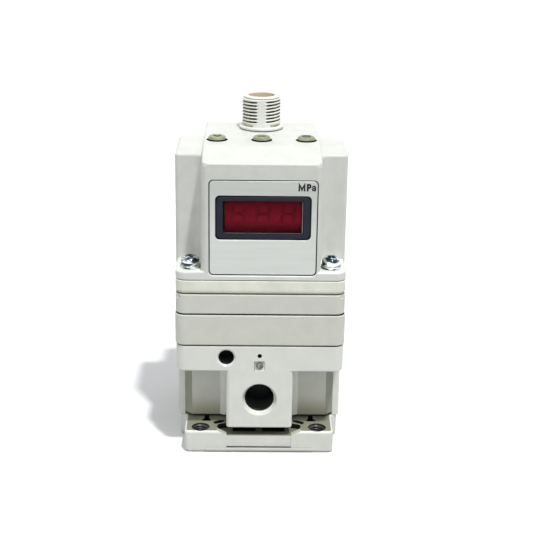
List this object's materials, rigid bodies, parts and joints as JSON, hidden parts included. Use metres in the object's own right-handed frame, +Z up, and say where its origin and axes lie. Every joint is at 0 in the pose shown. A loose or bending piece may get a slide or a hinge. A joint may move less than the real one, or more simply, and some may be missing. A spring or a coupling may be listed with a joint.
{
  "type": "electro pneumatic regulator",
  "caption": "Electronic air pressure regulator: ported valve body on a base plate, stacked pilot layers and a cover with red display, push keys and a round plug connector.",
  "frame": {"origin": "middle of the base plate's underside", "axes": "+Z up through the connector end, -Y out of the display side, +X out of the outlet port"},
  "size_m": [0.051, 0.0506, 0.104],
  "materials": {
    "cover_ivory": "fine moulded satin",
    "base_ivory": "fine moulded satin",
    "layer_grey": "satin baked paint",
    "body_paint": "satin baked paint on a casting",
    "plate_paint": "satin baked paint on a casting",
    "label_film": "brushed silver film",
    "bezel": "satin",
    "window": "polished, translucent red",
    "display_grey": "matte",
    "key_rubber": "soft matte",
    "pin_carrier": "matte",
    "gold_contact": "gold plated",
    "zinc_screw": "bright blue zinc plate",
    "rubber_black": "matte",
    "board_green": "solder resist",
    "plastic_black": "matte",
    "bright_steel": "turned",
    "brass_part": "turned"
  },
  "bodies": {
    "root": {"base_plate": "plate_paint", "base_gasket": "rubber_black", "valve_body": "body_paint", "pilot_block": "layer_grey", "valve_manifold": "layer_grey", "board_base": "base_ivory", "cover": "cover_ivory", "label_plate": "label_film", "display_bezel": "bezel", "display_window": "window", "led_module": "display_grey", "connector_shell": "cover_ivory", "connector_insert": "pin_carrier", "connector_seal": "rubber_black", "connector_nut": "plastic_black", "pilot_seal": "rubber_black", "manifold_seal": "rubber_black", "cover_seal": "rubber_black", "control_board": "board_green", "key_board": "board_green", "board_screw_1": "zinc_screw", "board_screw_2": "zinc_screw", "supply_solenoid": "plastic_black", "exhaust_solenoid": "plastic_black", "pressure_sensor": "bright_steel", "diaphragm": "rubber_black", "valve_spring": "bright_steel", "valve_guide": "plastic_black", "guide_o_ring": "rubber_black", "switch_down": "plastic_black", "switch_up": "plastic_black", "switch_set": "plastic_black", "contact_pin_1": "gold_contact", "cover_screw_1": "zinc_screw", "screw_washer_1": "zinc_screw", "base_screw_1": "zinc_screw", "contact_pin_2": "gold_contact", "cover_screw_2": "zinc_screw", "screw_washer_2": "zinc_screw", "base_screw_2": "zinc_screw", "contact_pin_3": "gold_contact", "cover_screw_3": "zinc_screw", "screw_washer_3": "zinc_screw", "base_screw_3": "zinc_screw", "contact_pin_4": "gold_contact", "cover_screw_4": "zinc_screw", "screw_washer_4": "zinc_screw", "base_screw_4": "zinc_screw"},
    "main_valve": {"main_valve": "brass_part"},
    "diaphragm_assembly": {"diaphragm_stem": "brass_part", "upper_disc": "bright_steel", "stem_nut": "bright_steel"},
    "key_down": {"key_down": "key_rubber", "switch_button_down": "bright_steel"},
    "key_up": {"key_up": "key_rubber", "switch_button_up": "bright_steel"},
    "key_set": {"key_set": "key_rubber", "switch_button_set": "bright_steel"},
    "supply_plunger": {"supply_plunger": "bright_steel"},
    "exhaust_plunger": {"exhaust_plunger": "bright_steel"}
  },
  "joints": [
    {"name": "key_down_press", "type": "slide", "parent": "root", "child": "key_down", "axis": [0, 0, -1], "range_m": [0, 0.0005], "stiffness_N_per_m": 800, "springref_m": -0.0002},
    {"name": "key_up_press", "type": "slide", "parent": "root", "child": "key_up", "axis": [0, 0, -1], "range_m": [0, 0.0005], "stiffness_N_per_m": 800, "springref_m": -0.0002},
    {"name": "key_set_press", "type": "slide", "parent": "root", "child": "key_set", "axis": [0, 0, -1], "range_m": [0, 0.0005], "stiffness_N_per_m": 800, "springref_m": -0.0002},
    {"name": "main_valve_open", "type": "slide", "parent": "root", "child": "main_valve", "axis": [0, 0, -1], "range_m": [0, 0.0015], "stiffness_N_per_m": 1500, "springref_m": -0.001, "deforming": ["valve_spring", "diaphragm"]},
    {"name": "diaphragm_lift_off", "type": "slide", "parent": "main_valve", "child": "diaphragm_assembly", "axis": [0, 0, 1], "range_m": [0, 0.001], "deforming": ["diaphragm"]},
    {"name": "supply_plunger_lift", "type": "slide", "parent": "root", "child": "supply_plunger", "axis": [0, 0, 1], "range_m": [0, 0.0004], "stiffness_N_per_m": 400, "springref_m": -0.001},
    {"name": "exhaust_plunger_lift", "type": "slide", "parent": "root", "child": "exhaust_plunger", "axis": [0, 0, 1], "range_m": [0, 0.0004], "stiffness_N_per_m": 400, "springref_m": -0.001}
  ]
}
